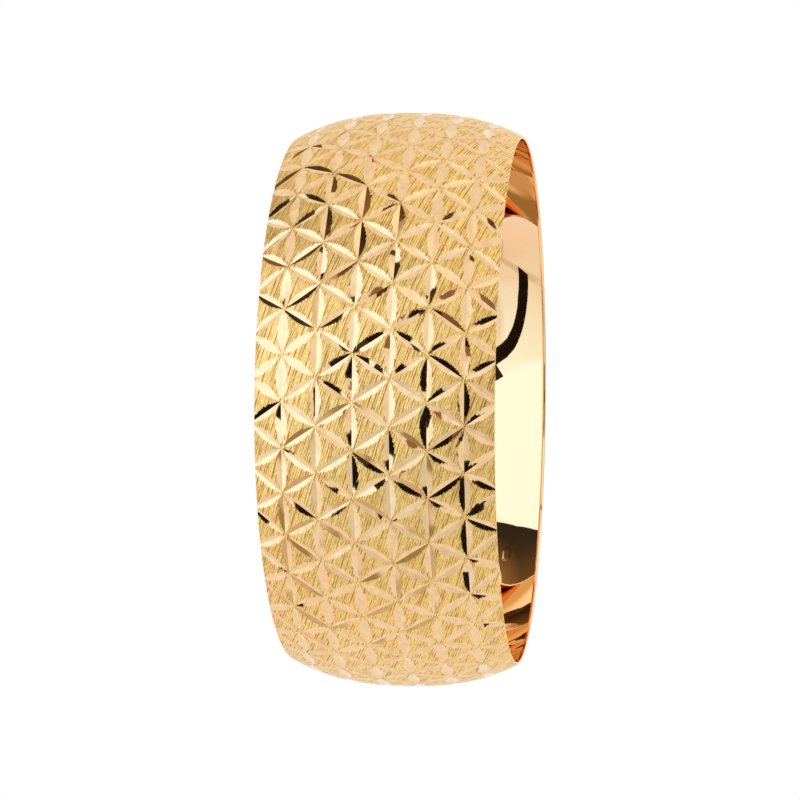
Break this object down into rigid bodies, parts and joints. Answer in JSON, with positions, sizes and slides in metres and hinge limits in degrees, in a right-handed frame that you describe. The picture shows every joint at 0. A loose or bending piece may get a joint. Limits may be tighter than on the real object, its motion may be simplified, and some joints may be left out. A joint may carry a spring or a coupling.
{
  "type": "bangle bracelet",
  "caption": "Wide domed rigid gold bangle, engraved outside and mirror polished inside, with a bevelled ring at each rim.",
  "frame": {"origin": "centre of the bangle, on its axis, midway between the two rims", "axes": "+Z along the bangle's axis, out of the rim that faces the viewer; the bangle lies flat on its -Z rim"},
  "size_m": [0.0698, 0.0698, 0.0272],
  "materials": {
    "engraved_gold": "satin",
    "polished_gold": "polished",
    "edge_gold": "polished"
  },
  "bodies": {
    "root": {"outer_shell": "engraved_gold", "inner_liner": "polished_gold", "upper_edge_ring": "edge_gold", "lower_edge_ring": "edge_gold"}
  },
  "joints": []
}
